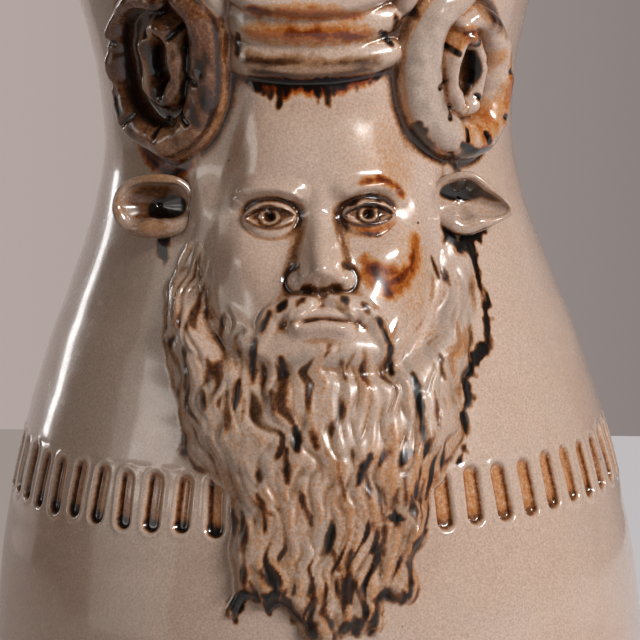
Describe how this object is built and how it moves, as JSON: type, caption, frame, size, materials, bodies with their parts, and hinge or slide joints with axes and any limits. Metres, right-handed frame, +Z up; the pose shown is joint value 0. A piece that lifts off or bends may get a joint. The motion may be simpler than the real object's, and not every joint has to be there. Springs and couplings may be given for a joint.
{
  "type": "ceramic jar",
  "caption": "Tall open-mouthed stoneware jar, full at the belly and waisted at the neck, with a horned and bearded mask in relief and a band of stamped slots round the shoulder.",
  "frame": {"origin": "centre of the foot on the table, on the jar's own axis", "axes": "+Z up the jar's axis, -Y towards the mask's side, so the mask faces -Y"},
  "size_m": [0.2038, 0.2044, 0.374],
  "materials": {
    "stoneware_glaze": "glossy salt glaze with fine speckle",
    "bare_clay": "bare fired clay",
    "iron_glaze": "glossy glaze stained rust brown",
    "dark_glaze": "glossy glaze pooled dark brown"
  },
  "bodies": {
    "root": {"foot_ring": "bare_clay", "base_section": "stoneware_glaze", "shoulder_section": "stoneware_glaze", "neck_section": "stoneware_glaze", "rim": "stoneware_glaze", "face_pad": "stoneware_glaze", "nose": "stoneware_glaze", "lower_lip": "stoneware_glaze", "beard": "iron_glaze", "headband_lower": "iron_glaze", "headband_middle": "iron_glaze", "headband_upper": "iron_glaze", "brow_left": "iron_glaze", "eye_left": "dark_glaze", "moustache_left": "iron_glaze", "sideburn_left": "iron_glaze", "hair_tuft_left": "iron_glaze", "horn_left": "dark_glaze", "ear_left": "stoneware_glaze", "brow_right": "iron_glaze", "eye_right": "dark_glaze", "moustache_right": "iron_glaze", "sideburn_right": "iron_glaze", "hair_tuft_right": "iron_glaze", "horn_right": "dark_glaze", "ear_right": "stoneware_glaze"}
  },
  "joints": []
}
